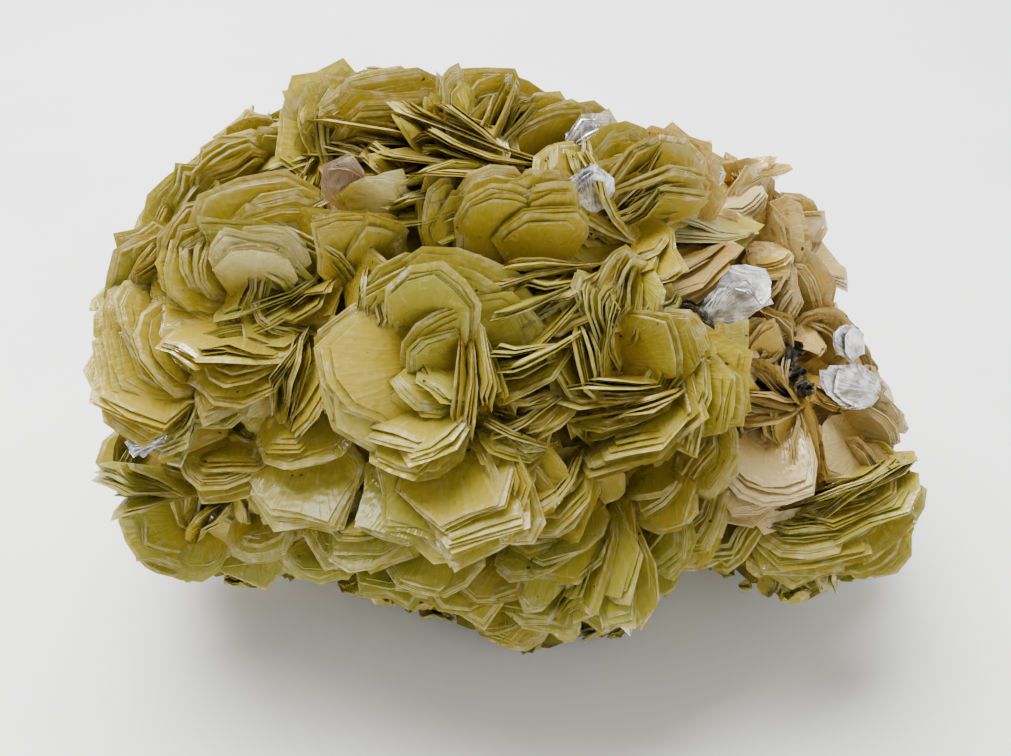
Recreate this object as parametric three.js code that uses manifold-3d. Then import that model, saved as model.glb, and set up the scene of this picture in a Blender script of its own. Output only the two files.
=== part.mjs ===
// Mica crystal: a loose hand specimen of yellow muscovite, about 115 mm wide.
// Books of thin six-sided plates grew outwards from one lumpy mass and into each other, so it is one solid.
// Millimetres, +X to the right and +Y away from the viewer of the photograph, +Z up from the resting face.
import * as THREE from "three";
import { mergeVertices } from "three/addons/utils/BufferGeometryUtils.js";
import Module from "manifold-3d";

const wasm = await Module();
wasm.setup();

// Driving dimensions
const CENTRE_HEIGHT = 34; // the middle of the picture is this far above the resting face
const BOOK_SPINE = 1.4; // thickness of a book of sheets where it leaves the mass
const ROOT_SHARE = 0.55; // of a book's length, sunk in the mass it grew from
const WIDEST_BOOK = 62; // degrees: one that opens further is a star of thinner books
const CORE_ROUGHNESS = 1.2; // lumps on the mass between the books
const BACK_BOOKS = 46; // books on the sides that the photograph doesn't show

// The photograph's viewpoint, which turns a place in the picture into a sight line
const PICTURE_MIDDLE = { across: 505, down: 378 }; // pixels
const PIXELS_PER_MM = 7.04; // on the plane through the middle of the specimen
const EYE_DISTANCE = 240;
const EYE_ELEVATION = THREE.MathUtils.degToRad(35);

const centre = new THREE.Vector3(0, 0, CENTRE_HEIGHT);
const right = new THREE.Vector3(1, 0, 0);
const upward = new THREE.Vector3(0, Math.sin(EYE_ELEVATION), Math.cos(EYE_ELEVATION));
const toViewer = new THREE.Vector3(0, -Math.cos(EYE_ELEVATION), Math.sin(EYE_ELEVATION));
const eye = centre.clone().addScaledVector(toViewer, EYE_DISTANCE);

// The lumps of the intergrown mass: where each one is centred and its half sizes
const LUMPS = [
  { at: [-4, -2, 36], half: [40, 32, 34] }, // middle
  { at: [3, -3, 20], half: [23, 21, 27] }, // underside
  { at: [5, -14, 18], half: [19, 14, 21] }, // front foot
  { at: [-32, -1, 40], half: [21, 25, 24] }, // left
  { at: [-15, 14, 51], half: [25, 19, 19] }, // upper left
  { at: [33, 0, 27], half: [21, 25, 18] }, // right
  { at: [23, 12, 44], half: [20, 17, 16] }, // upper right
  { at: [-37, -7, 19], half: [16, 16, 11] }, // lower left
  { at: [41, -7, 17], half: [15, 16, 11] }, // lower right
];

// Books of plates seen in the photograph: the pixel where the root leaves the mass, then in degrees
// heading in the picture (0 right, 90 up), lean towards the viewer and roll (0 face on, 90 edge on),
// then length beyond the root and width in mm, and how many degrees the plates fan open
const SEEN_BOOKS = [
  // Top left lobe
  [340, 140, 150, 25, 35, 10, 14, 50],
  [345, 145, 100, 20, 30, 11, 14, 40],
  [385, 150, 85, 30, 10, 12, 19, 35],
  [372, 150, 250, 60, 15, 12, 18, 45],
  // Top middle lobe and the stack below it
  [470, 155, 92, 15, 75, 12, 12, 70],
  [460, 135, 110, 35, 20, 10, 14, 40],
  [490, 140, 70, 30, 30, 10, 14, 40],
  [525, 168, 178, 30, 78, 21, 13, 34],
  [470, 185, 215, 45, 70, 14, 12, 30],
  // Top right lobe
  [545, 160, 80, 20, 25, 9, 14, 40],
  [560, 150, 50, 10, 40, 8, 12, 30],
  // Upper right rosette
  [640, 215, 95, 35, 15, 11, 20, 45],
  [610, 205, 165, 35, 40, 13, 15, 50],
  [655, 200, 60, 30, 20, 10, 15, 40],
  [640, 215, 120, 65, 10, 12, 17, 60],
  [720, 228, 190, 35, 65, 19, 10, 22],
  [640, 240, 275, 40, 20, 10, 10, 40],
  [690, 265, 215, 25, 60, 15, 12, 28],
  [725, 300, 200, 20, 20, 10, 9, 6],
  [645, 180, 55, 20, 20, 6, 12, 30],
  // Middle band
  [445, 240, 95, 25, 40, 9, 8, 35],
  [492, 245, 85, 35, 10, 11, 12, 25],
  [532, 250, 80, 35, 15, 12, 12, 30],
  [575, 275, 205, 30, 75, 15, 10, 32],
  [625, 280, 270, 40, 70, 10, 9, 40],
  [560, 340, 215, 30, 70, 13, 10, 30],
  // Curved shell above the large hexagon
  [440, 310, 55, 40, 15, 15, 22, 45],
  [410, 290, 95, 45, 15, 11, 17, 40],
  [480, 330, 20, 35, 20, 12, 16, 40],
  // Large hexagons at the front
  [425, 370, 185, 25, 5, 15, 19, 12],
  [430, 400, 250, 40, 25, 13, 13, 25],
  [450, 450, 290, 30, 5, 15, 18, 20],
  [430, 470, 245, 25, 5, 11, 13, 12],
  [480, 450, 315, 40, 35, 14, 12, 35],
  [470, 340, 290, 45, 75, 13, 9, 25],
  [545, 390, 230, 50, 60, 10, 9, 50],
  [560, 470, 260, 40, 40, 10, 10, 40],
  // Right front rosette
  [640, 345, 25, 45, 12, 12, 14, 18],
  [605, 340, 130, 40, 50, 11, 11, 50],
  [640, 385, 205, 40, 68, 16, 13, 32],
  [650, 400, 235, 45, 55, 15, 15, 30],
  [670, 380, 330, 45, 25, 12, 14, 40],
  [690, 430, 290, 40, 40, 10, 11, 40],
  [600, 370, 160, 45, 35, 11, 12, 50],
  // Front foot
  [565, 515, 245, 35, 30, 13, 11, 35],
  [600, 520, 272, 30, 50, 15, 10, 35],
  [640, 515, 300, 40, 25, 10, 11, 30],
  [545, 560, 265, 25, 30, 10, 13, 35],
  [485, 555, 235, 25, 20, 10, 14, 30],
  [595, 580, 290, 20, 30, 7, 11, 40],
  [440, 535, 250, 20, 15, 9, 12, 20],
  [690, 490, 275, 30, 40, 11, 10, 40],
  [730, 515, 265, 25, 40, 8, 10, 40],
  // Weathered right side
  [765, 375, 105, 30, 15, 9, 7, 12],
  [775, 400, 190, 35, 65, 10, 10, 70],
  [770, 440, 245, 25, 12, 13, 13, 22],
  [845, 395, 150, 35, 10, 7, 8, 10],
  [850, 440, 200, 40, 8, 9, 9, 10],
  [858, 430, 20, 25, 30, 6, 13, 45],
  [858, 470, 345, 30, 50, 7, 14, 35],
  [785, 240, 80, 20, 25, 7, 11, 40],
  [790, 290, 10, 25, 30, 6, 11, 40],
  [812, 335, 20, 20, 30, 6, 11, 40],
  [768, 240, 350, 15, 25, 6, 13, 30],
  // Lower right lobe
  [840, 490, 290, 55, 0, 11, 20, 60],
  [800, 515, 270, 45, 0, 10, 16, 40],
  [860, 490, 340, 30, 20, 9, 15, 45],
  [850, 535, 275, 20, 30, 6, 14, 35],
  [872, 525, 310, 20, 20, 7, 12, 30],
  // Left hexagon and the plates above it
  [175, 372, 235, 25, 8, 11, 17, 18],
  [180, 360, 195, 30, 20, 12, 15, 45],
  [165, 330, 170, 30, 25, 9, 14, 50],
  [250, 335, 240, 40, 25, 13, 14, 40],
  [290, 360, 300, 45, 40, 12, 16, 35],
  [300, 405, 265, 30, 15, 10, 13, 25],
  [305, 450, 268, 20, 5, 11, 15, 14],
  // Lower left lobe
  [190, 485, 178, 20, 72, 13, 10, 26],
  [185, 520, 190, 25, 10, 9, 11, 20],
  [200, 535, 262, 20, 10, 7, 12, 25],
  [205, 520, 75, 45, 70, 11, 8, 45],
  [265, 515, 280, 25, 20, 7, 11, 30],
  [345, 518, 255, 25, 25, 7, 12, 35],
  [375, 505, 260, 30, 25, 9, 12, 35],
  // Star on the left and the sheets round it
  [255, 280, 45, 35, 78, 12, 9, 115],
  [270, 290, 275, 40, 15, 11, 15, 35],
  [270, 260, 90, 25, 12, 12, 21, 30],
  [320, 270, 20, 30, 30, 9, 14, 35],
  [215, 280, 160, 40, 30, 9, 12, 45],
  // Upper left shoulder
  [285, 175, 90, 35, 8, 8, 10, 18],
  [230, 190, 100, 40, 35, 8, 14, 45],
  [200, 210, 125, 30, 30, 7, 13, 45],
  [175, 235, 140, 25, 25, 5, 12, 45],
  [162, 280, 110, 40, 25, 8, 12, 50],
  [152, 295, 165, 20, 30, 5, 13, 40],
  [140, 345, 175, 10, 20, 5, 14, 30],
  [365, 265, 100, 45, 10, 9, 11, 25],
];

// A repeatable number from 0 to 1 for the kth draw of item i
function draw(i, k) {
  const x = Math.sin(i * 12.9898 + k * 78.233) * 43758.5453;
  return x - Math.floor(x);
}

// A repeatable vector with each part from -0.5 to 0.5, from the kth draw of item i on
function drawVector(i, k) {
  return new THREE.Vector3(draw(i, k) - 0.5, draw(i, k + 1) - 0.5, draw(i, k + 2) - 0.5);
}

// Where a line from start meets a lump: both distances, or the nearest approach if it misses
function crossings(start, direction, lump) {
  const half = new THREE.Vector3(...lump.half);
  const o = start.clone().sub(new THREE.Vector3(...lump.at)).divide(half);
  const d = direction.clone().divide(half);
  const a = d.lengthSq();
  const b = o.dot(d);
  const c = o.lengthSq() - 1;
  const root = Math.sqrt(Math.max(b * b - a * c, 0));
  return { hit: b * b > a * c, near: (-b - root) / a, far: (-b + root) / a, miss: c - (b * b) / a };
}

// The point of the mass that is seen at a pixel
function seenPoint(across, down) {
  const onPicture = centre
    .clone()
    .addScaledVector(right, (across - PICTURE_MIDDLE.across) / PIXELS_PER_MM)
    .addScaledVector(upward, (PICTURE_MIDDLE.down - down) / PIXELS_PER_MM);
  const sight = onPicture.sub(eye).normalize();
  const met = LUMPS.map((lump) => crossings(eye, sight, lump));
  const hits = met.filter((m) => m.hit).sort((m, n) => m.near - n.near);
  const chosen = hits[0] ?? met.sort((m, n) => m.miss - n.miss)[0];
  return eye.clone().addScaledVector(sight, chosen.near);
}

// A book's root, growth direction and the line that its plates fan about
function seenBook([across, down, heading, lean, roll, length, width, spread]) {
  const [h, l, r] = [heading, lean, roll].map(THREE.MathUtils.degToRad);
  const inPicture = right.clone().multiplyScalar(Math.cos(h)).addScaledVector(upward, Math.sin(h));
  const grow = inPicture.multiplyScalar(Math.cos(l)).addScaledVector(toViewer, Math.sin(l));
  const beside = right.clone().multiplyScalar(-Math.sin(h)).addScaledVector(upward, Math.cos(h));
  const facing = new THREE.Vector3().crossVectors(grow, beside);
  const edge = beside.multiplyScalar(Math.cos(r)).addScaledVector(facing, Math.sin(r));
  return { root: seenPoint(across, down), grow, edge, length, width, spread };
}

// Books all round the sides that the photograph doesn't show, on a golden spiral of directions
function backBooks() {
  const GOLDEN_TURN = Math.PI * (3 - Math.sqrt(5));
  const LENGTHS = [7, 11];
  const WIDTHS = [13, 19];
  const SPREADS = [20, 50];
  const HIGHEST = 0.97; // rise of the first direction
  const LOWEST = -0.35; // keeps books off the resting face
  const SEEN_LIMIT = 0.15; // a direction that faces the viewer more than this is in the photograph
  const STRAY = 0.8; // how far a book leans away from straight out of the mass
  const LEAST_RISE = 0.1; // no book points down
  const SIDE_TRIM = 0.6; // books that point sideways are shorter, as those at the ends of the seen side are
  const TOP_TRIM = 0.7; // so are those that rise over its top
  const MOST_TRIM = 0.75;
  const books = [];
  for (let i = 0; books.length < BACK_BOOKS; i++) {
    const z = HIGHEST - (((HIGHEST - LOWEST) * i) / (2 * BACK_BOOKS)) % (HIGHEST - LOWEST);
    const ring = Math.sqrt(1 - z * z);
    const out = new THREE.Vector3(ring * Math.cos(i * GOLDEN_TURN), ring * Math.sin(i * GOLDEN_TURN), z);
    if (out.dot(toViewer) > SEEN_LIMIT) continue;
    const met = LUMPS.map((lump) => ({ lump, ...crossings(centre, out, lump) })).filter((m) => m.hit);
    const outermost = met.sort((m, n) => n.far - m.far)[0];
    const root = centre.clone().addScaledVector(out, outermost.far);
    const half = new THREE.Vector3(...outermost.lump.half);
    const fromLump = root.clone().sub(new THREE.Vector3(...outermost.lump.at));
    const normal = fromLump.divide(half).divide(half).normalize();
    const grow = normal.addScaledVector(drawVector(i, 1), STRAY);
    grow.setZ(Math.max(grow.z, LEAST_RISE)).normalize();
    const edge = drawVector(i, 4).cross(grow).normalize();
    const trim = SIDE_TRIM * Math.abs(grow.x) + TOP_TRIM * Math.max(grow.dot(upward), 0) ** 2;
    books.push({
      root,
      grow,
      edge,
      length: THREE.MathUtils.lerp(...LENGTHS, draw(i, 7)) * (1 - Math.min(trim, MOST_TRIM)),
      width: THREE.MathUtils.lerp(...WIDTHS, draw(i, 8)),
      spread: THREE.MathUtils.lerp(...SPREADS, draw(i, 9)),
    });
  }
  return books;
}

// A geometry with one vertex at each corner
function welded(geometry) {
  geometry.deleteAttribute("normal");
  geometry.deleteAttribute("uv");
  const TOUCHING = 1e-3;
  return mergeVertices(geometry, TOUCHING);
}

// The closed solid of a welded geometry
function solidOf(geometry) {
  return new wasm.Manifold(
    new wasm.Mesh({
      numProp: 3,
      vertProperties: geometry.attributes.position.array,
      triVerts: new Uint32Array(geometry.index.array),
    }),
  );
}

// One lump of the mass, faceted and a little uneven
function lumpSolid(lump, index) {
  const DETAIL = 1;
  const SEED_STEP = 100; // more than a lump's corners, so no two lumps share their unevenness
  const geometry = welded(new THREE.IcosahedronGeometry(1, DETAIL));
  const position = geometry.attributes.position;
  const point = new THREE.Vector3();
  for (let i = 0; i < position.count; i++) {
    point.fromBufferAttribute(position, i);
    const swell = (2 * draw(index * SEED_STEP + i, 0) - 1) * CORE_ROUGHNESS;
    const outwards = point.clone().multiplyScalar(swell);
    point.multiply(new THREE.Vector3(...lump.half)).add(outwards).add(new THREE.Vector3(...lump.at));
    position.setXYZ(i, point.x, point.y, point.z);
  }
  return solidOf(geometry);
}

// The outline of a mica plate in its own plane: half a six-sided form that tapers to its buried root
function plateOutline(length, width) {
  const SHOULDER = 0.55; // where the plate is widest, as a share of its length
  const TIP_WIDTH = 0.5;
  const half = width / 2;
  return new THREE.Shape([
    new THREE.Vector2(-ROOT_SHARE * length, 0),
    new THREE.Vector2(SHOULDER * length, -half),
    new THREE.Vector2(length, -TIP_WIDTH * half),
    new THREE.Vector2(length, TIP_WIDTH * half),
    new THREE.Vector2(SHOULDER * length, half),
  ]);
}

// A book of plates that opens by so many degrees: the outline, thicker towards its tip
function wedge(length, width, opening) {
  const FULLNESS = 0.6; // the outer sheets curl in
  const slope = FULLNESS * Math.tan(THREE.MathUtils.degToRad(opening / 2));
  const outline = plateOutline(length, width);
  const book = welded(new THREE.ExtrudeGeometry(outline, { depth: 2, bevelEnabled: false }));
  const position = book.translate(0, 0, -1).attributes.position;
  for (let i = 0; i < position.count; i++) {
    const half = BOOK_SPINE / 2 + slope * Math.max(position.getX(i), 0);
    position.setZ(i, position.getZ(i) * half);
  }
  return book;
}

// The solids of one book, or of the star that a wide one is, fanned about the line through its root
function bookSolids(book) {
  const RAYS = 3;
  const star = book.spread > WIDEST_BOOK;
  const turns = star ? [-1, 0, 1].map((side) => (side * book.spread) / RAYS) : [0];
  const opening = star ? book.spread / (2 * RAYS) : book.spread;
  const face = new THREE.Vector3().crossVectors(book.grow, book.edge);
  return turns.map((degrees) => {
    const angle = THREE.MathUtils.degToRad(degrees);
    const along = book.grow.clone().applyAxisAngle(book.edge, angle);
    const normal = face.clone().applyAxisAngle(book.edge, angle);
    const place = new THREE.Matrix4().makeBasis(along, book.edge, normal).setPosition(book.root);
    return solidOf(wedge(book.length, book.width, opening).applyMatrix4(place));
  });
}

// Everything below the resting plane
function belowRest() {
  const SIDE = 400;
  return solidOf(welded(new THREE.BoxGeometry(SIDE, SIDE, SIDE).translate(0, 0, -SIDE / 2)));
}

// The triangles of the outer skin alone, which fills the small hollows that the books close off
function outerSkin(triVerts, cornerCount) {
  const link = Uint32Array.from({ length: cornerCount }, (_, corner) => corner);
  const skinOf = (corner) => {
    let end = corner;
    while (link[end] !== end) end = link[end];
    return end;
  };
  for (let t = 0; t < triVerts.length; t += 3) {
    link[skinOf(triVerts[t])] = skinOf(triVerts[t + 1]);
    link[skinOf(triVerts[t + 1])] = skinOf(triVerts[t + 2]);
  }
  const skins = [...Map.groupBy(triVerts, skinOf).values()];
  return skins.sort((a, b) => b.length - a.length)[0];
}

// The whole specimen: lumps and plates joined, and cut flat where it rests
function specimenGeometry() {
  const books = [...SEEN_BOOKS.map(seenBook), ...backBooks()];
  const pieces = [...LUMPS.map(lumpSolid), ...books.flatMap(bookSolids)];
  const joined = pieces.reduce((whole, piece) => whole.add(piece)).subtract(belowRest());
  const { vertProperties, triVerts } = joined.getMesh();
  return new THREE.BufferGeometry()
    .setAttribute("position", new THREE.BufferAttribute(vertProperties, 3))
    .setIndex(outerSkin(triVerts, vertProperties.length / 3));
}

const mica = new THREE.MeshStandardMaterial({ color: 0xb3a048, roughness: 0.35, metalness: 0 });
const specimen = new THREE.Group();
const cluster = new THREE.Mesh(specimenGeometry(), mica);
cluster.name = "mica_cluster";
specimen.add(cluster);

export default specimen;
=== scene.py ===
"""Mica crystal: the looks of a loose cluster of yellow mica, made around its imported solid."""

import math
from collections import namedtuple

import bmesh
import bpy
import numpy as np
from bpy.props import FloatProperty, FloatVectorProperty, IntProperty, PointerProperty
from mathutils import Matrix, Vector, noise


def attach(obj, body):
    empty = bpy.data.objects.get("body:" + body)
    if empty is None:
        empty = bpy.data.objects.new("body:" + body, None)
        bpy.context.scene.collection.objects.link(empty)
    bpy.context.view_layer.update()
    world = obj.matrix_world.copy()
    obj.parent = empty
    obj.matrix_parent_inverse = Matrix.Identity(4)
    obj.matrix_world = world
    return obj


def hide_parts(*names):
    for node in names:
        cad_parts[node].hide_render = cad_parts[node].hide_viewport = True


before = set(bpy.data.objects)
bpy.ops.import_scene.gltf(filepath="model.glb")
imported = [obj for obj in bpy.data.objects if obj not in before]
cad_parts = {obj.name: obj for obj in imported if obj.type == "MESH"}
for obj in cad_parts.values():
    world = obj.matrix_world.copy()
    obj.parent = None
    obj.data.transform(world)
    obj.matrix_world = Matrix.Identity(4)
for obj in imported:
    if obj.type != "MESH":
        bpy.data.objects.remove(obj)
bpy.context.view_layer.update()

bl_info = {
    "name": "Mica crystal",
    "version": (1, 0, 0),
    "blender": (4, 5, 0),
    "location": "View3D > Sidebar > Mica",
    "description": "Builds a cluster of mica books, sheet by sheet, on its solid",
    "category": "Add Mesh",
}

MM = 0.001
BODY = "root"
NODE = "mica_cluster"

# The photograph's viewpoint, in millimetres, which turns a pixel into a sight line
PICTURE_MIDDLE = (505, 378)
PIXELS_PER_MM = 7.04
EYE_DISTANCE = 240
EYE_ELEVATION = math.radians(35)
CENTRE = np.array([0.0, 0.0, 34.0])
RIGHT = np.array([1.0, 0.0, 0.0])
UPWARD = np.array([0.0, math.sin(EYE_ELEVATION), math.cos(EYE_ELEVATION)])
TO_VIEWER = np.array([0.0, -math.cos(EYE_ELEVATION), math.sin(EYE_ELEVATION)])
EYE = CENTRE + TO_VIEWER * EYE_DISTANCE

# The lumps of the intergrown mass, in millimetres: centre and half sizes
LUMPS = [
    ((-4, -2, 36), (40, 32, 34)),  # middle
    ((3, -3, 20), (23, 21, 27)),  # underside
    ((5, -14, 18), (19, 14, 21)),  # front foot
    ((-32, -1, 40), (21, 25, 24)),  # left
    ((-15, 14, 51), (25, 19, 19)),  # upper left
    ((33, 0, 27), (21, 25, 18)),  # right
    ((23, 12, 44), (20, 17, 16)),  # upper right
    ((-37, -7, 19), (16, 16, 11)),  # lower left
    ((41, -7, 17), (15, 16, 11)),  # lower right
]

# Books seen in the photograph: the pixel of the root, then in degrees the heading in the picture
# (0 right, 90 up), the lean towards the viewer and the roll (0 face on, 90 edge on), then length and
# width in mm, the degrees that the sheets fan open, and how far they bow as a share of the length
HONEY_BOOKS = [
    # Top left lobe
    (340, 140, 150, 25, 35, 10, 14, 50, 0.05),
    (345, 145, 100, 20, 30, 11, 14, 40, -0.05),
    (385, 150, 85, 30, 10, 12, 19, 35, 0.12),
    (372, 150, 250, 60, 15, 12, 18, 45, 0.1),
    # Top middle lobe and the stack below it
    (470, 155, 92, 15, 75, 12, 12, 70, 0.0),
    (460, 135, 110, 35, 20, 10, 14, 40, 0.05),
    (490, 140, 70, 30, 30, 10, 14, 40, -0.05),
    (525, 168, 178, 30, 78, 21, 13, 34, 0.05),
    (470, 185, 215, 45, 70, 14, 12, 30, 0.05),
    # Top right lobe
    (545, 160, 80, 20, 25, 9, 14, 40, 0.05),
    (560, 150, 50, 10, 40, 8, 12, 30, 0.0),
    # Upper right rosette
    (640, 215, 95, 35, 15, 11, 20, 45, 0.15),
    (610, 205, 165, 35, 40, 13, 15, 50, 0.1),
    (630, 205, 130, 60, 10, 11, 16, 50, 0.15),
    (640, 240, 275, 40, 20, 10, 10, 40, 0.0),
    # Middle band
    (445, 240, 95, 25, 40, 9, 8, 35, 0.0),
    (492, 245, 85, 35, 10, 11, 12, 25, 0.05),
    (532, 250, 80, 35, 15, 12, 12, 30, 0.05),
    (575, 275, 205, 30, 75, 15, 10, 32, 0.0),
    (625, 280, 270, 40, 70, 10, 9, 40, 0.0),
    (560, 340, 215, 30, 70, 13, 10, 30, 0.0),
    # Curved shell above the large hexagon
    (432, 330, 62, 40, 12, 12, 17, 30, -0.15),
    (405, 315, 100, 40, 15, 8, 14, 25, -0.1),
    (478, 340, 30, 35, 20, 10, 14, 30, -0.15),
    # Large hexagons at the front
    (425, 370, 185, 25, 5, 15, 19, 12, 0.03),
    (430, 400, 250, 40, 25, 13, 13, 25, 0.0),
    (455, 372, 203, 45, 25, 9, 9, 30, 0.05),
    (450, 450, 290, 30, 5, 15, 18, 20, 0.05),
    (430, 470, 245, 25, 5, 11, 13, 12, 0.0),
    (480, 450, 315, 40, 35, 14, 12, 35, 0.0),
    (470, 340, 290, 45, 75, 13, 9, 25, 0.05),
    (545, 390, 230, 50, 60, 10, 9, 50, 0.0),
    (560, 470, 260, 40, 40, 10, 10, 40, 0.0),
    (530, 430, 200, 55, 45, 9, 9, 50, 0.0),
    # Right front rosette
    (632, 352, 15, 45, 12, 11, 11, 18, 0.0),
    (605, 340, 130, 40, 50, 11, 11, 50, 0.0),
    (640, 385, 205, 40, 68, 16, 13, 32, 0.0),
    (650, 400, 235, 45, 55, 15, 15, 30, 0.05),
    (670, 380, 330, 45, 25, 12, 14, 40, 0.1),
    (690, 430, 290, 40, 40, 10, 11, 40, 0.0),
    (600, 370, 160, 45, 35, 11, 12, 50, 0.1),
    (655, 470, 280, 40, 20, 9, 10, 30, 0.0),
    # Front foot
    (565, 515, 245, 35, 30, 13, 11, 35, 0.0),
    (600, 520, 272, 30, 50, 15, 10, 35, 0.0),
    (640, 515, 300, 40, 25, 10, 11, 30, 0.0),
    (545, 560, 265, 25, 30, 10, 13, 35, 0.05),
    (485, 555, 235, 25, 20, 10, 14, 30, 0.05),
    (595, 580, 290, 20, 30, 7, 11, 40, 0.0),
    (440, 535, 250, 20, 15, 9, 12, 20, 0.0),
    (690, 490, 275, 30, 40, 11, 10, 40, 0.0),
    (730, 515, 265, 25, 40, 8, 10, 40, 0.0),
    (510, 600, 260, 20, 30, 7, 12, 40, 0.0),
    (650, 565, 310, 25, 15, 5, 7, 25, 0.0),
    # Lower right lobe
    (840, 490, 290, 55, 0, 11, 20, 60, 0.12),
    (800, 515, 270, 45, 0, 10, 16, 40, 0.1),
    (860, 490, 340, 30, 20, 9, 15, 45, 0.05),
    (850, 535, 275, 20, 30, 6, 14, 35, 0.0),
    (872, 525, 310, 20, 20, 7, 12, 30, 0.0),
    # Left hexagon and the plates above it
    (172, 368, 235, 35, 5, 12, 18, 14, 0.03),
    (185, 350, 185, 25, 20, 11, 14, 35, 0.1),
    (165, 330, 170, 30, 25, 9, 14, 50, 0.1),
    (250, 335, 240, 40, 25, 13, 14, 40, 0.1),
    (290, 360, 300, 45, 40, 12, 16, 35, 0.12),
    (300, 405, 265, 30, 15, 10, 13, 25, 0.0),
    (305, 450, 268, 20, 5, 11, 15, 14, 0.0),
    (195, 400, 250, 45, 60, 9, 9, 35, 0.0),
    (150, 460, 200, 20, 15, 7, 12, 25, 0.0),
    # Lower left lobe
    (190, 485, 178, 20, 72, 13, 10, 26, 0.0),
    (185, 520, 190, 25, 10, 9, 11, 20, 0.0),
    (200, 535, 262, 20, 10, 7, 12, 25, 0.0),
    (178, 540, 220, 20, 35, 6, 9, 30, 0.0),
    (205, 520, 75, 45, 70, 11, 8, 45, 0.0),
    (265, 515, 280, 25, 20, 7, 11, 30, 0.0),
    (345, 518, 255, 25, 25, 7, 12, 35, 0.0),
    (375, 505, 260, 30, 25, 9, 12, 35, 0.0),
    # Star on the left and the sheets round it
    (256, 284, 58, 42, 15, 11, 15, 30, 0.1),
    (270, 290, 275, 40, 15, 11, 15, 35, 0.05),
    (270, 260, 90, 25, 12, 12, 21, 30, 0.1),
    (320, 270, 20, 30, 30, 9, 14, 35, 0.05),
    (215, 280, 160, 40, 30, 9, 12, 45, 0.05),
    # Upper left shoulder
    (285, 175, 90, 35, 8, 8, 10, 18, 0.1),
    (230, 190, 100, 40, 35, 8, 14, 45, 0.1),
    (200, 210, 125, 30, 30, 7, 13, 45, 0.1),
    (175, 235, 140, 25, 25, 5, 12, 45, 0.1),
    (162, 280, 110, 40, 25, 8, 12, 50, 0.1),
    (195, 265, 95, 45, 40, 9, 10, 45, 0.1),
    (250, 150, 110, 20, 30, 5, 10, 40, 0.0),
    (365, 265, 100, 45, 10, 9, 11, 25, 0.05),
    (370, 300, 330, 50, 30, 7, 8, 30, 0.0),
    # Gaps along the lower left edge
    (232, 445, 255, 35, 20, 9, 13, 35, 0.05),
    (248, 545, 268, 20, 20, 5, 13, 35, 0.0),
    (322, 545, 262, 20, 15, 5, 13, 35, 0.0),
    (395, 560, 258, 25, 20, 6, 13, 35, 0.0),
]
WEATHERED_BOOKS = [
    # Tan books on the right
    (690, 265, 215, 25, 60, 15, 12, 28, 0.0),
    (765, 375, 105, 30, 15, 9, 7, 12, 0.0),
    (775, 400, 190, 35, 65, 10, 10, 70, 0.0),
    (770, 440, 245, 25, 12, 13, 13, 22, 0.0),
    (795, 415, 275, 25, 70, 10, 7, 18, 0.0),
    (858, 430, 20, 25, 30, 6, 13, 45, 0.1),
    (858, 470, 345, 30, 50, 7, 14, 35, 0.1),
    (785, 240, 80, 20, 25, 7, 11, 40, 0.1),
    (790, 290, 10, 25, 30, 6, 11, 40, 0.1),
    (812, 335, 20, 20, 30, 6, 11, 40, 0.1),
    (770, 280, 300, 40, 40, 7, 8, 40, 0.0),
    # Grey-mauve books on both edges
    (645, 180, 55, 20, 20, 6, 12, 30, 0.05),
    (655, 200, 60, 30, 20, 10, 15, 40, 0.1),
    (850, 440, 200, 40, 8, 9, 9, 10, 0.0),
    (768, 240, 350, 15, 25, 6, 13, 30, 0.1),
    (755, 205, 130, 35, 15, 6, 9, 20, 0.0),
    (152, 295, 165, 20, 30, 5, 13, 40, 0.1),
    (140, 345, 175, 10, 20, 5, 14, 30, 0.1),
    (225, 400, 250, 45, 10, 4, 5, 10, 0.0),
]
PALE_BOOKS = [
    (718, 230, 188, 32, 58, 14, 10, 22, 0.0),
    (262, 280, 75, 50, 12, 9, 11, 14, 0.05),
    (365, 205, 12, 25, 35, 7, 5, 18, 0.0),
    (585, 155, 45, 10, 10, 6, 7, 15, 0.0),
]
SILVER_BOOKS = [
    (590, 165, 100, 30, 20, 6, 8, 30, 0.05),
    (590, 205, 110, 40, 10, 5, 6, 10, 0.0),
    (742, 296, 192, 14, 8, 8, 7, 8, 0.0),
    (715, 310, 30, 25, 25, 5, 6, 16, 0.0),
    (852, 392, 165, 15, 8, 6, 6, 10, 0.0),
    (842, 350, 120, 25, 20, 4, 4, 12, 0.0),
    (172, 428, 215, 10, 40, 5, 4, 10, 0.0),
    (705, 190, 80, 30, 20, 3, 4, 20, 0.0),
]
BROWN_BOOKS = [
    (352, 206, 100, 14, 6, 6, 6, 5, 0.0),
]
DARK_BOOKS = [
    (684, 316, 60, 50, 20, 2, 3, 60, 0.0),
    (692, 322, 120, 60, 40, 2, 3, 60, 0.0),
    (699, 330, 20, 50, 10, 2, 3, 60, 0.0),
    (782, 336, 90, 60, 30, 2, 3, 60, 0.0),
    (788, 350, 30, 50, 50, 2, 3, 60, 0.0),
    (786, 364, 150, 60, 10, 2, 4, 60, 0.0),
    (794, 378, 70, 50, 40, 2, 3, 60, 0.0),
    (802, 392, 100, 60, 20, 2, 3, 60, 0.0),
]

# Faces that no small book covers: the pixel of the middle, and the radius in pixels
OPEN_FACES = [
    (385, 375, 55),  # large hexagon
    (455, 490, 50),  # hexagon below it
    (145, 395, 45),  # left hexagon
    (300, 480, 35),  # small hexagon at the lower left
    (440, 270, 50),  # curved shell
    (348, 190, 25),  # brown crystal
    (722, 300, 38),  # silvery face
    (830, 430, 28),  # grey face
    (755, 450, 32),  # tan book
    (640, 340, 30),  # plates of the right rosette
]

# How far some books stand off the mass towards the viewer, in millimetres
RISE = {"pale_blades": 5, "silver_flakes": 7, "brown_crystal": 4, "dark_grains": 3}

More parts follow.
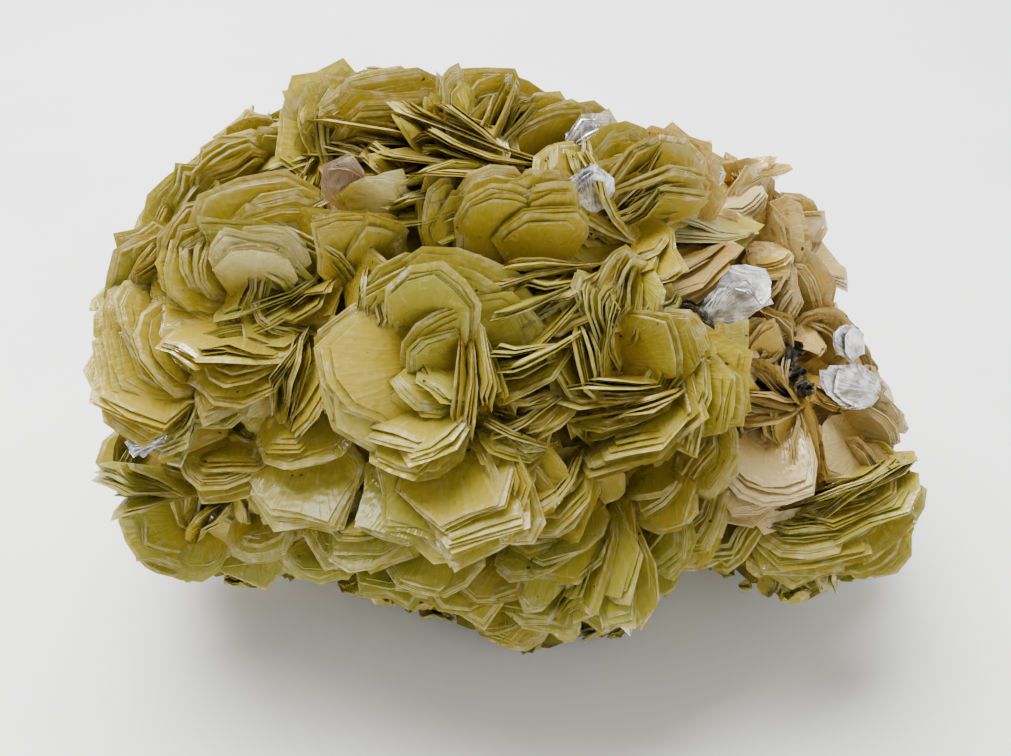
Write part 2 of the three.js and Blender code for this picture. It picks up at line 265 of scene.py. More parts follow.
# The number of the first book of each group, which its random draws come from
FIRST_NUMBER = {
    "fresh_books": 100,
    "weathered_books": 300,
    "pale_blades": 350,
    "silver_flakes": 370,
    "brown_crystal": 390,
    "dark_grains": 392,
    "back_books": 400,
    "back_weathered_books": 450,
    "small_fresh_books_left": 500,
    "small_fresh_books_right": 1000,
    "small_fresh_books_back": 1500,
    "small_weathered_books": 2000,
}

GOLDEN_TURN = math.pi * (3 - math.sqrt(5))

Book = namedtuple("Book", "root grow edge length width spread bow")


def draw(i, k):
    """A repeatable number from 0 to 1 for the kth draw of item i."""
    item_step, draw_step, stretch = 12.9898, 78.233, 43758.5453
    x = math.sin(i * item_step + k * draw_step) * stretch
    return x - math.floor(x)


def draw_vector(i, k):
    """A repeatable vector with each part from -0.5 to 0.5, from the kth draw of item i on."""
    return np.array([draw(i, k + n) - 0.5 for n in range(3)])


def between(span, share):
    """The value at a share of the way along a span of two values."""
    return span[0] + (span[1] - span[0]) * share


def unit(vector):
    """The vector with a length of 1."""
    return vector / np.linalg.norm(vector)


# Where the books are

def crossings(start, direction, lump):
    """Whether a line meets a lump, its near and far distances, and how nearly it misses."""
    at, half = (np.array(part, float) for part in lump)
    from_middle = (start - at) / half
    step = direction / half
    a, b, c = step @ step, from_middle @ step, from_middle @ from_middle - 1
    root = math.sqrt(max(b * b - a * c, 0))
    return b * b > a * c, (-b - root) / a, (-b + root) / a, c - b * b / a


def seen_point(across, down):
    """The point of the mass that is seen at a pixel."""
    u = (across - PICTURE_MIDDLE[0]) / PIXELS_PER_MM
    v = (PICTURE_MIDDLE[1] - down) / PIXELS_PER_MM
    sight = unit(CENTRE + RIGHT * u + UPWARD * v - EYE)
    met = [crossings(EYE, sight, lump) for lump in LUMPS]
    hits = sorted(near for hit, near, _, _ in met if hit)
    near = hits[0] if hits else min(met, key=lambda m: m[3])[1]
    return EYE + sight * near


def seen_book(row, rise=0):
    """A book of the photograph, placed on the mass or some way towards the viewer from it."""
    across, down, heading, lean, roll, length, width, spread, bow = row
    heading, lean, roll = (math.radians(angle) for angle in (heading, lean, roll))
    in_picture = RIGHT * math.cos(heading) + UPWARD * math.sin(heading)
    grow = in_picture * math.cos(lean) + TO_VIEWER * math.sin(lean)
    beside = UPWARD * math.cos(heading) - RIGHT * math.sin(heading)
    facing = np.cross(grow, beside)
    edge = beside * math.cos(roll) + facing * math.sin(roll)
    root = seen_point(across, down) + TO_VIEWER * rise
    return Book(root, grow, edge, length, width, spread, bow)


def back_books():
    """Books on the sides that the photograph doesn't show, on a golden spiral of directions."""
    count = 46
    steps_a_sweep = 2 * count
    lengths, widths, spreads = (7, 11), (13, 19), (20, 50)
    highest, lowest, seen_limit = 0.97, -0.35, 0.15
    stray, least_rise = 0.8, 0.1
    most_bow, unbowed = 0.15, 0.3
    side_trim, top_trim, most_trim = 0.6, 0.7, 0.75
    books = []
    i = 0
    while len(books) < count:
        z = highest - ((highest - lowest) * i / steps_a_sweep) % (highest - lowest)
        ring = math.sqrt(1 - z * z)
        out = np.array([ring * math.cos(i * GOLDEN_TURN), ring * math.sin(i * GOLDEN_TURN), z])
        if out @ TO_VIEWER <= seen_limit:
            met = [(crossings(CENTRE, out, lump), lump) for lump in LUMPS]
            far, (at, half) = max(((m[2], lump) for m, lump in met if m[0]), key=lambda m: m[0])
            root = CENTRE + out * far
            grow = unit((root - at) / np.square(half)) + draw_vector(i, 1) * stray
            grow[2] = max(grow[2], least_rise)
            grow = unit(grow)
            edge = unit(np.cross(draw_vector(i, 4), grow))
            trim = side_trim * abs(grow[0]) + top_trim * max(grow @ UPWARD, 0) ** 2
            length = between(lengths, draw(i, 7)) * (1 - min(trim, most_trim))
            width = between(widths, draw(i, 8))
            spread = between(spreads, draw(i, 9))
            bow = most_bow * (draw(i, 10) - unbowed)
            books.append(Book(root, grow, edge, length, width, spread, bow))
        i += 1
    return books


def seen_pixel(point):
    """The pixel at which a point is seen."""
    from_centre = point - CENTRE
    scale = PIXELS_PER_MM * EYE_DISTANCE / (EYE_DISTANCE - from_centre @ TO_VIEWER)
    across = PICTURE_MIDDLE[0] + from_centre @ RIGHT * scale
    down = PICTURE_MIDDLE[1] - from_centre @ UPWARD * scale
    return np.array([across, down])


def in_outline(point, margin):
    """True if a point is seen against the mass, or within a margin of its outline."""
    sight = unit(point - EYE)
    return any(crossings(EYE, sight, (at, np.add(half, margin)))[0] for at, half in LUMPS)


def is_clear(point, normal):
    """True if a point isn't in front of one of the faces that the photograph shows whole."""
    if normal @ TO_VIEWER < 0:
        return True
    return all(math.dist(seen_pixel(point), face[:2]) > face[2] for face in OPEN_FACES)


def small_book(i, root, normal, lift, size):
    """A small book laid on the mass like a petal, with its lift and size scaled."""
    lengths, widths, spreads, lifts = (6, 9.5), (8, 13), (15, 40), (0.25, 0.75)
    stray, contour_trim = 0.7, 0.45
    most_bow, unbowed = 0.4, 0.4
    near_floor = 2 * lengths[1]
    tangent = unit(np.cross(draw_vector(i, 1), normal))
    grow = tangent + normal * between(lifts, draw(i, 11)) * lift
    if root[2] < near_floor:
        grow[2] = max(grow[2], 0.0)
    grow = unit(grow)
    edge = np.cross(normal, tangent) + draw_vector(i, 4) * stray
    edge = unit(edge - grow * (edge @ grow))
    trim = contour_trim * max(abs(grow @ UPWARD), abs(grow[0])) ** 2
    length = between(lengths, draw(i, 7)) * (1 - trim) * size
    width = between(widths, draw(i, 8)) * size
    spread = between(spreads, draw(i, 9))
    bow = most_bow * (draw(i, 10) - unbowed)
    return Book(root, grow, edge, length, width, spread, bow)


def fits(book, margin):
    """True if the tip of a book is seen within a margin of the mass."""
    tip = book.root + book.grow * book.length
    return all(in_outline(tip + book.edge * side * book.width / 3, margin) for side in (-1, 0, 1))


def filler_books(count):
    """Small books all over the mass, which fill the gaps between the large ones."""
    numbers_a_lump = 1000
    lowest, inside, thinned, rise = 4.0, 0.96, 0.72, 1.0
    top_margin, low_margin, hang_limit = 2.5, 0.3, -0.25
    hang_size, back_size, flank_size, low_lift = 0.6, 1.35, 0.75, 0.3
    areas = [half[0] * half[1] + half[1] * half[2] + half[0] * half[2] for _, half in LUMPS]
    books = []
    for number, (at, half) in enumerate(LUMPS):
        share = int(count * areas[number] / sum(areas))
        others = [lump for lump in LUMPS if lump[0] != at]
        for n in range(share):
            i = numbers_a_lump * (number + 1) + n
            z = 1 - (2 * n + 1) / share
            ring = math.sqrt(1 - z * z)
            out = np.array([ring * math.cos(n * GOLDEN_TURN), ring * math.sin(n * GOLDEN_TURN), z])
            root = np.array(at) + out * half
            normal = unit(out / half)
            buried = any(np.sum(np.square((root - a) / h)) < inside for a, h in others)
            if buried or root[2] < lowest or not is_clear(root, normal):
                continue
            hangs = normal @ UPWARD < hang_limit
            at_back = normal @ TO_VIEWER < 0
            tan = is_weathered(root)
            if draw(i, 12) > thinned and not (at_back or hangs or tan):
                continue
            size = hang_size if hangs else back_size if at_back else flank_size if tan else 1
            margin = top_margin if normal @ UPWARD > 0 else low_margin
            raised = root if hangs else root + normal * rise
            full = small_book(i, raised, normal, hang_size if hangs else 1, size)
            low = small_book(i, root, normal, low_lift, size * hang_size)
            books += [book for book in (full, low) if fits(book, margin)][:1]
    return books


def is_weathered(place):
    """True on the right flank, which is tan and grey instead of yellow."""
    flank_start, flank_foot = 27, 25
    return place[0] > flank_start and place[2] > flank_foot


# The sheets of a book

SHEET_FIELDS = "centre turn half_size facing bend flare roundness shape_seed seed tone"
Sheet = namedtuple("Sheet", SHEET_FIELDS)


def sheets_of(book, number, shape):
    """The sheets of a book, in metres: plates that fan about the line through its root."""
    plates_a_number = 40
    small_width = 10
    buried, longest = 0.45, 1.02
    widest, plain_spread = math.radians(62), math.radians(20)
    fullness, most_closed, curl = 0.75, 0.7, 0.15
    highest, height_share = 80, 0.35
    fan_jitter, layer_turn, slip = 0.4, 0.1, 0.2
    bow_jitter, cup_jitter, twist_jitter = 0.1, 0.2, 0.16
    plate_tone, layer_tone = 0.4, 0.1
    steps, flares, roundnesses = (0.4, 1.6), (1.1, 1.5), (0.25, 1.0)
    plain_roundness, layer_shape = 0.15, 0.001
    layers = shape.layers if book.width > small_width else shape.layers - 1
    spread = math.radians(book.spread)
    opening = spread * (fullness if spread <= widest else 1)
    at_tips = opening * book.length * MM
    count = int(min(max(at_tips / shape.plate_gap, shape.fewest_plates), shape.most_plates))
    closed = min(most_closed, shape.plate_thickness * count / at_tips)
    flare = max(closed * at_tips / count / layers - shape.sheet_thickness, 0) / 2
    face = np.cross(book.grow, book.edge)
    tone = (1 - height_share) * draw(number, 20) + height_share * (1 - book.root[2] / highest)
    plain = spread <= plain_spread
    terrace, uneven, plate_turn = (0.02, 0.15, 0.2) if plain else (0.05, 0.34, 0.7)
    for j in range(count * layers):
        plate, behind = divmod(j, layers)
        g = number * plates_a_number + plate
        i = g * layers + behind
        middle = plate == count // 2
        step = (behind + 0.5) / layers - 0.5
        share = (plate + 0.5 + closed * step + fan_jitter * (draw(g, 34) - 0.5)) / count - 0.5
        angle = share * opening
        along = book.grow * math.cos(angle) - face * math.sin(angle)
        normal = face * math.cos(angle) + book.grow * math.sin(angle)
        turn = (draw(g, 22) - 0.5) * plate_turn + (draw(i, 23) - 0.5) * layer_turn
        forward = along * math.cos(turn) + book.edge * math.sin(turn)
        across = book.edge * math.cos(turn) - along * math.sin(turn)
        stepped = 1 - terrace * (layers - 1 - behind) * between(steps, draw(i, 25))
        length = book.length * stepped * (1 if middle else longest - uneven * draw(g, 24))
        width = book.width * stepped * (1 if middle else longest - uneven * draw(g, 26))
        half_length = length * (1 + buried) / 2
        root = book.root - normal * share * count * layers * shape.sheet_thickness / MM
        centre = root + forward * (length - half_length) + across * width * slip * (draw(g, 36) - 0.5)
        matrix = Matrix((forward, across, normal)).transposed()
        bow = (book.bow - 2 * share * curl + bow_jitter * (draw(g, 28) - 0.5)) * book.length
        cup = (draw(g, 29) - 0.5) * cup_jitter * book.width
        twist = (draw(g, 30) - 0.5) * twist_jitter * book.width
        own_tone = tone + plate_tone * (draw(g, 32) - 0.5) + layer_tone * (draw(i, 32) - 0.5)
        yield Sheet(
            centre=centre * MM,
            turn=matrix.to_euler("XYZ"),
            half_size=(half_length * MM, width / 2 * MM, shape.sheet_thickness / 2),
            facing=normal,
            bend=(bow * MM, cup * MM, twist * MM),
            flare=flare * between(flares, draw(i, 35)),
            roundness=plain_roundness if plain else between(roundnesses, draw(g, 33)),
            shape_seed=draw(g, 31) + layer_shape * draw(i, 31),
            seed=draw(i, 37),
            tone=min(max(own_tone, 0), 1),
        )


# Trees of nodes

class Wiring:
    """Adds nodes to a tree and joins them up."""

    def __init__(self, tree):
        self.tree = tree

    def add(self, kind, inputs=None, **settings):
        """A new node, with its settings, and with each input set or linked."""
        node = self.tree.nodes.new(kind)
        for name, value in settings.items():
            setattr(node, name, value)
        for key, value in (inputs or {}).items():
            self.put(node.inputs[key], value)
        return node

    def put(self, socket, value):
        """Links a socket to another one, or gives it a value."""
        if isinstance(value, bpy.types.NodeSocket):
            self.tree.links.new(value, socket)
        else:
            socket.default_value = value

    def math(self, operation, a, b=0.0):
        """A number worked out from one or two others."""
        return self.add("ShaderNodeMath", {0: a, 1: b}, operation=operation).outputs[0]

    def vector(self, operation, a, b=(0, 0, 0)):
        """A vector worked out from one or two others."""
        return self.add("ShaderNodeVectorMath", {0: a, 1: b}, operation=operation).outputs[0]

    def scaled(self, vector, factor):
        """A vector times a number."""
        return self.add("ShaderNodeVectorMath", {0: vector, "Scale": factor}, operation="SCALE").outputs[0]

    def parts(self, vector):
        """The three parts of a vector."""
        return self.add("ShaderNodeSeparateXYZ", {0: vector}).outputs

    def joined(self, x, y, z):
        """A vector of three parts."""
        return self.add("ShaderNodeCombineXYZ", {0: x, 1: y, 2: z}).outputs[0]

    def ramp(self, value, start, end, bottom=0.0, top=1.0):
        """A smooth step from bottom to top as the value goes from start to end."""
        inputs = {"Value": value, "From Min": start, "From Max": end, "To Min": bottom, "To Max": top}
        return self.add("ShaderNodeMapRange", inputs, interpolation_type="SMOOTHSTEP").outputs[0]

    def noise(self, vector, scale, detail=2.0):
        """Smooth noise round 0.5 at a vector."""
        inputs = {"Vector": vector, "Scale": scale, "Detail": detail}
        return self.add("ShaderNodeTexNoise", inputs).outputs["Fac"]

    def mixed(self, factor, a, b, blend="MIX"):
        """One colour mixed into another."""
        node = self.add("ShaderNodeMix", {0: factor, 6: a, 7: b}, data_type="RGBA", blend_type=blend)
        return node.outputs[2]


def named(wiring, name, kind="FLOAT"):
    """An attribute of the geometry, by its name."""
    node = wiring.add("GeometryNodeInputNamedAttribute", {"Name": name}, data_type=kind)
    return node.outputs["Attribute"]


def stored(wiring, geometry, name, value, kind="FLOAT", domain="POINT"):
    """The geometry with a value kept on it under a name."""
    inputs = {"Geometry": geometry, "Name": name, "Value": value}
    node = wiring.add("GeometryNodeStoreNamedAttribute", inputs, data_type=kind, domain=domain)
    return node.outputs[0]


def sheet_blank(wiring, sides):
    """A thin round sheet of unit half size: a ball pressed flat, with its rings kept as attributes."""
    rings, ring_share = 5, 0.62
    pole_height, ring_height, rim_start = 0.9, 0.5, 0.99
    ball = wiring.add("GeometryNodeMeshUVSphere", {"Segments": sides, "Rings": rings, "Radius": 1.0})
    place = wiring.add("GeometryNodeInputPosition").outputs[0]
    x, y, z = wiring.parts(place)
    height = wiring.math("ABSOLUTE", z)
    inner = wiring.math("MULTIPLY", wiring.math("LESS_THAN", height, pole_height), ring_share)
    outer = wiring.math("MULTIPLY", wiring.math("LESS_THAN", height, ring_height), 1 - ring_share)
    ring = wiring.math("ADD", inner, outer)
    angle = wiring.math("ARCTAN2", y, x)
    flat_x = wiring.math("MULTIPLY", ring, wiring.math("COSINE", angle))
    flat_y = wiring.math("MULTIPLY", ring, wiring.math("SINE", angle))
    kept = stored(wiring, ball.outputs["Mesh"], "ring", ring)
    flat_place = wiring.joined(flat_x, flat_y, wiring.math("SIGN", z))
    kept = stored(wiring, kept, "plate", flat_place, "FLOAT_VECTOR")
    plate = named(wiring, "plate", "FLOAT_VECTOR")
    flat = wiring.add("GeometryNodeSetPosition", {"Geometry": kept, "Position": plate}).outputs[0]
    smooth = wiring.add("GeometryNodeSetShadeSmooth", {"Geometry": flat, "Shade Smooth": True}).outputs[0]
    on_rim = wiring.math("GREATER_THAN", named(wiring, "ring"), rim_start)
    off_middle = wiring.math("ABSOLUTE", wiring.parts(plate)[2])
    one_side = wiring.math("GREATER_THAN", off_middle, 0.5)
    rim_line = wiring.math("MULTIPLY", on_rim, one_side)
    creased = stored(wiring, smooth, "sharp_edge", rim_line, "BOOLEAN", "EDGE")
    return stored(wiring, creased, "edge", on_rim, "FLOAT", "FACE")


def outline_factor(w, u, v, side, seed, ragged):
    """How far out each point of a round sheet goes, to make a ragged six-sided plate or a petal."""
    sixth = math.radians(60)
    petal, most_bevel = 0.96, 0.14
    chip_scale, chip_detail = 2.8, 3.0
    turned = w.math("ADD", w.math("ARCTAN2", v, u), sixth / 2)
    from_side = w.math("SUBTRACT", w.math("FLOORED_MODULO", turned, sixth), sixth / 2)
    six_sided = w.math("DIVIDE", math.cos(sixth / 2), w.math("COSINE", from_side))
    rounder = w.math("MULTIPLY", w.math("SUBTRACT", petal, six_sided), named(w, "roundness"))
    outline = w.math("ADD", six_sided, rounder)
    chips = w.math("SUBTRACT", w.noise(w.joined(u, v, seed), chip_scale, chip_detail), 0.5)
    ring = named(w, "ring")
    chipped = w.math("MULTIPLY", w.math("MULTIPLY", chips, ragged), w.math("MULTIPLY", ring, ring))
    slope = w.math("MULTIPLY", w.math("SUBTRACT", named(w, "seed"), 0.5), most_bevel)
    bevel = w.math("MULTIPLY", w.math("MULTIPLY", slope, side), ring)
    return w.math("MULTIPLY", outline, w.math("ADD", w.math("ADD", chipped, bevel), 1.0))


def sheet_lift(w, u, v, side, seed, waviness):
    """How far each point of a sheet leaves its plane: bow, cup, twist, waves and flare."""
    wave_scale, wave_detail = 1.7, 2.0
    bow, cup, twist = w.parts(named(w, "bend", "FLOAT_VECTOR"))
    reach = w.math("MULTIPLY", w.math("ADD", u, 1.0), 0.5)
    wave = w.math("SUBTRACT", w.noise(w.joined(v, u, seed), wave_scale, wave_detail), 0.5)
    terms = [
        w.math("MULTIPLY", bow, w.math("MULTIPLY", reach, reach)),
        w.math("MULTIPLY", cup, w.math("MULTIPLY", v, v)),
        w.math("MULTIPLY", twist, w.math("MULTIPLY", u, v)),
        w.math("MULTIPLY", wave, waviness),
        w.math("MULTIPLY", w.math("MULTIPLY", side, reach), named(w, "flare")),
    ]
    total = terms[0]
    for term in terms[1:]:
        total = w.math("ADD", total, term)
    return total


def sheets_tree():
    """Geometry nodes that turn points with attributes into warped mica sheets."""
    seed_span = 97.0
    tree = bpy.data.node_groups.new("Mica sheets", "GeometryNodeTree")
    face = tree.interface
    face.new_socket("Geometry", in_out="INPUT", socket_type="NodeSocketGeometry")
    face.new_socket("Rim Points", in_out="INPUT", socket_type="NodeSocketInt")
    face.new_socket("Ragged Rim", in_out="INPUT", socket_type="NodeSocketFloat")
    face.new_socket("Waviness", in_out="INPUT", socket_type="NodeSocketFloat")
    face.new_socket("Material", in_out="INPUT", socket_type="NodeSocketMaterial")
    face.new_socket("Geometry", in_out="OUTPUT", socket_type="NodeSocketGeometry")
    w = Wiring(tree)
    given = w.add("NodeGroupInput").outputs
    inputs = {
        "Points": given["Geometry"],
        "Instance": sheet_blank(w, given["Rim Points"]),
        "Rotation": w.add("FunctionNodeEulerToRotation", {0: named(w, "turn", "FLOAT_VECTOR")}).outputs[0],
        "Scale": named(w, "half_size", "FLOAT_VECTOR"),
    }
    sheets = w.add("GeometryNodeInstanceOnPoints", inputs).outputs[0]
    real = w.add("GeometryNodeRealizeInstances", {"Geometry": sheets}).outputs[0]
    u, v, side = w.parts(named(w, "plate", "FLOAT_VECTOR"))
    seed = w.math("MULTIPLY", named(w, "shape_seed"), seed_span)
    place = w.add("GeometryNodeInputPosition").outputs[0]
    outwards = w.vector("SUBTRACT", place, named(w, "centre", "FLOAT_VECTOR"))
    growth = w.math("SUBTRACT", outline_factor(w, u, v, side, seed, given["Ragged Rim"]), 1.0)
    lift = sheet_lift(w, u, v, side, seed, given["Waviness"])
    offset = w.vector("ADD", w.scaled(outwards, growth), w.scaled(named(w, "facing", "FLOAT_VECTOR"), lift))
    warped = w.add("GeometryNodeSetPosition", {"Geometry": real, "Offset": offset}).outputs[0]
    x, y, z = w.parts(w.add("GeometryNodeInputPosition").outputs[0])
    above = w.joined(x, y, w.math("MAXIMUM", z, 0.0))
    rested = w.add("GeometryNodeSetPosition", {"Geometry": warped, "Position": above}).outputs[0]
    inputs = {"Geometry": rested, "Material": given["Material"]}
    finished = w.add("GeometryNodeSetMaterial", inputs).outputs[0]
    w.add("NodeGroupOutput", {0: finished})
    return tree


def give(modifier, name, value):
    """Sets a named input of a nodes modifier."""
    for item in modifier.node_group.interface.items_tree:
        if item.in_out == "INPUT" and item.name == name:
            modifier[item.identifier] = value
            return
    raise KeyError(name)


def points_mesh(name, sheets):
    """A mesh of one point for each sheet, with what the tree needs kept on the points."""
    mesh = bpy.data.meshes.new(name)
    mesh.from_pydata([sheet.centre for sheet in sheets], [], [])
    for field in SHEET_FIELDS.split():
        values = np.array([getattr(sheet, field) for sheet in sheets], np.float32)
        kind, slot = ("FLOAT_VECTOR", "vector") if values.ndim == 2 else ("FLOAT", "value")
        mesh.attributes.new(field, kind, "POINT").data.foreach_set(slot, values.ravel())
    return mesh


def dress(piece):
    """Ties a finished piece to the solid that it stands for."""
    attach(piece, BODY)
    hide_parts(NODE)


def build_books(name, books, first_number, material):
    """One piece made of the sheets of many books."""
    shape = bpy.context.scene.mica_shape
    sheets = []
    for n, book in enumerate(books):
        sheets += sheets_of(book, first_number + n, shape)
    piece = bpy.data.objects.new(name, points_mesh(name, sheets))
    bpy.context.scene.collection.objects.link(piece)
    modifier = piece.modifiers.new("Sheets", "NODES")
    modifier.node_group = bpy.data.node_groups.get("Mica sheets") or sheets_tree()
    give(modifier, "Rim Points", shape.rim_points)
    give(modifier, "Ragged Rim", shape.ragged_rim)
    give(modifier, "Waviness", shape.waviness)
    give(modifier, "Material", material)
    evaluated = piece.evaluated_get(bpy.context.evaluated_depsgraph_get())
    mesh = bpy.data.meshes.new_from_object(evaluated)
    piece.modifiers.clear()
    piece.data = mesh
    dress(piece)


def build_group(name, books, material_name):
    """One piece made of a whole group of books."""
    build_books(name, books, FIRST_NUMBER[name], finish(material_name))


# Finishes

def surface(name):
    """A new material, with its wiring and its main shader node."""
    material = bpy.data.materials.new(name)
    material.use_nodes = True
    return material, Wiring(material.node_tree), material.node_tree.nodes["Principled BSDF"]


def kept_value(wiring, name, output="Fac"):
    """A value that the sheets keep as an attribute."""
    return wiring.add("ShaderNodeAttribute", attribute_name=name).outputs[output]


def stretched(w, values, scales, seed, detail):
    """Noise over two values, each with a scale of its own, that differs from sheet to sheet."""
    across, along = (w.math("MULTIPLY", value, scale) for value, scale in zip(values, scales))
    return w.noise(w.joined(across, along, seed), 1.0, detail)


def sheet_marks(w):
    """Streaks that run out from the root, growth lines along the rim, and layers in a sheet's wall."""
    seed_span, past_root = 50.0, 1.4
    streak_scales, zone_scales, layer_scales = (30.0, 1.2), (11.0, 1.5), (2.5, 2.5)
    u, v, side = w.parts(kept_value(w, "plate", "Vector"))
    seed = w.math("MULTIPLY", kept_value(w, "seed"), seed_span)
    angle = w.math("ARCTAN2", v, w.math("ADD", u, past_root))
    ring = kept_value(w, "ring")
    streaks = stretched(w, (angle, u), streak_scales, seed, detail=1.0)
    zones = stretched(w, (ring, angle), zone_scales, seed, detail=0.0)
    layers = stretched(w, (side, angle), layer_scales, seed, detail=1.0)
    return u, ring, streaks, zones, layers


def bumped(w, shader, height, distance):
    """Gives a shader a fine relief."""
    bump = w.add("ShaderNodeBump", {"Strength": 0.6, "Distance": distance, "Height": height})
    w.put(shader.inputs["Normal"], bump.outputs[0])


def mica_finish(name, deep, warm, cool, rim, clear=0.42, glints=0.0):
    """Translucent pearly sheets: warm at the root, where the colour is partly a painted glow, paler layers
    outwards, and a painted highlight line and painted glints on the rim.
    """
    cloud_scale, speck_scale, crinkle_scale = 140.0, 800.0, 1100.0
    cloud_reach, wall_relief, relief = 0.9, 2.5, 0.2 * MM
    speck_colour, refraction = (0.02, 0.015, 0.005, 1), 1.5
    material, w, shader = surface(name)
    u, ring, streaks, zones, layers = sheet_marks(w)
    wall = kept_value(w, "edge")
    tone = kept_value(w, "tone")
    painted_glint_colour = bpy.context.scene.mica_colours.cream
    place = w.add("ShaderNodeTexCoord").outputs["Object"]
    clouds = w.noise(place, cloud_scale, detail=2.0)
    specks = w.noise(place, speck_scale, detail=1.0)
    crinkle = w.noise(place, crinkle_scale, detail=0.0)
    body = w.mixed(w.ramp(tone, start=0.15, end=0.85), (*warm, 1), (*cool, 1))
    # Towards the root, where the sheets stack, the colour goes to the deep colour: partly the thick stack's
    # own deeper tone, partly a painted glow of light scattered between the sheets.
    reach = w.ramp(w.math("ADD", u, w.math("MULTIPLY", clouds, cloud_reach)), start=-0.4, end=1.1)
    colour = w.mixed(reach, (*deep, 1), body)
    colour = w.mixed(w.ramp(streaks, start=0.5, end=0.8, top=0.28), colour, (*rim, 1))
    colour = w.mixed(w.ramp(zones, start=0.52, end=0.8, top=0.09), colour, (*rim, 1))
    dark_layers = w.math("MULTIPLY", wall, w.ramp(layers, start=0.5, end=0.34, top=0.4))
    colour = w.mixed(dark_layers, colour, (*deep, 1))
    pale_layers = w.math("MULTIPLY", wall, w.ramp(layers, start=0.54, end=0.72, top=0.3))
    at_rim = w.ramp(ring, start=0.96, end=1.0)
    # Painted highlight: a pale line along each rim where the specks rise, for the light the edges catch; the
    # pale layers of the walls that join it are the sheets' own.
    line = w.math("MULTIPLY", at_rim, w.ramp(specks, start=0.35, end=0.6, top=0.4))
    colour = w.mixed(w.math("MAXIMUM", line, pale_layers), colour, (*rim, 1))
    # Painted glints: white flecks along the rims where the specks rise highest.
    painted_glint = w.math("MULTIPLY", at_rim, w.ramp(specks, start=0.6, end=0.66, top=0.5))
    colour = w.mixed(painted_glint, colour, (*painted_glint_colour, 1))
    colour = w.mixed(w.ramp(specks, start=0.24, end=0.2, top=0.9), colour, speck_colour)
    w.put(shader.inputs["Base Color"], colour)
    w.put(shader.inputs["Roughness"], w.ramp(clouds, start=0.35, end=0.65, bottom=0.1, top=0.32))
    shader.inputs["IOR"].default_value = refraction
    shader.inputs["Transmission Weight"].default_value = clear
    if glints:
        chosen = w.ramp(kept_value(w, "seed"), start=0.8, end=0.85)
        shine = w.math("MULTIPLY", chosen, w.ramp(specks, start=0.5, end=0.6, top=glints))
        w.put(shader.inputs["Metallic"], shine)
    wall_lines = w.math("MULTIPLY", w.math("MULTIPLY", wall, layers), wall_relief)
    lines = w.math("ADD", streaks, wall_lines)
    bumped(w, shader, w.math("ADD", lines, crinkle), relief)
    return material


def silver_finish(colour):
    """Bright weathered sheets that mirror the light."""
    crumple_scale, dullness, metal, relief = 700.0, 0.4, 0.7, 0.15 * MM
    material, w, shader = surface("Silver mica")
    _, _, streaks, _, _ = sheet_marks(w)
    place = w.add("ShaderNodeTexCoord").outputs["Object"]
    crumple = w.noise(place, crumple_scale, detail=4.0)
    dull = tuple(dullness * part for part in colour)
    # The colour goes from dull to bright where the crumples and streaks rise: partly the weathered flake's
    # own dull patches, partly painted reflection.
    shine = w.ramp(w.math("ADD", crumple, streaks), start=0.8, end=1.15)
    w.put(shader.inputs["Base Color"], w.mixed(shine, (*dull, 1), (*colour, 1)))
    w.put(shader.inputs["Roughness"], w.ramp(crumple, start=0.3, end=0.7, bottom=0.1, top=0.3))
    shader.inputs["Metallic"].default_value = metal
    bumped(w, shader, w.math("ADD", crumple, streaks), relief)
    return material


def core_finish(fresh, weathered):
    """The dull mass that shows between the books, olive and on the right flank tan, kept dark as painted
    shade in the clefts.
    """
    grain_scale, relief = 420.0, 0.8 * MM
    flank_start, flank_foot, blend = 22 * MM, 20 * MM, 6 * MM
    material, w, shader = surface("Olive mass")
    place = w.add("ShaderNodeTexCoord").outputs["Object"]
    grain = w.noise(place, grain_scale, detail=5.0)
    x, _, z = w.parts(place)
    beside = w.ramp(x, flank_start, flank_start + blend)
    above = w.ramp(z, flank_foot, flank_foot + blend)
    light = w.mixed(w.math("MULTIPLY", beside, above), (*fresh, 1), (*weathered, 1))
    # Painted shade, mottled by the grain: the mass is darkened a fifth to three fifths of the way to black.
    shade = w.ramp(grain, start=0.65, end=0.35, bottom=0.2, top=0.6)
    w.put(shader.inputs["Base Color"], w.mixed(shade, light, (0, 0, 0, 1)))
    shader.inputs["Roughness"].default_value = 0.6
    shader.inputs["Specular IOR Level"].default_value = 0.1
    bumped(w, shader, grain, relief)
    return material


def finish(name):
    """A finish by its name, made when it is first asked for."""
    known = bpy.data.materials.get(name)
    if known:
        return known
    c = bpy.context.scene.mica_colours
    if name == "Honey mica":
        return mica_finish(name, c.deep, c.honey, c.olive, c.rim)
    if name == "Weathered mica":
        return mica_finish(name, c.rust, c.tan, c.ash, c.bone, clear=0.4, glints=0.5)
    if name == "Pale mica":
        return mica_finish(name, c.honey, c.rim, c.rim, c.cream)
    if name == "Brown mica":
        return mica_finish(name, c.rust, c.brown, c.brown, c.ash)
    if name == "Dark mica":
        return mica_finish(name, c.black, c.black, c.black, c.core)
    if name == "Silver mica":
        return silver_finish(c.silver)
    return core_finish(c.core, c.rust)


# Settings

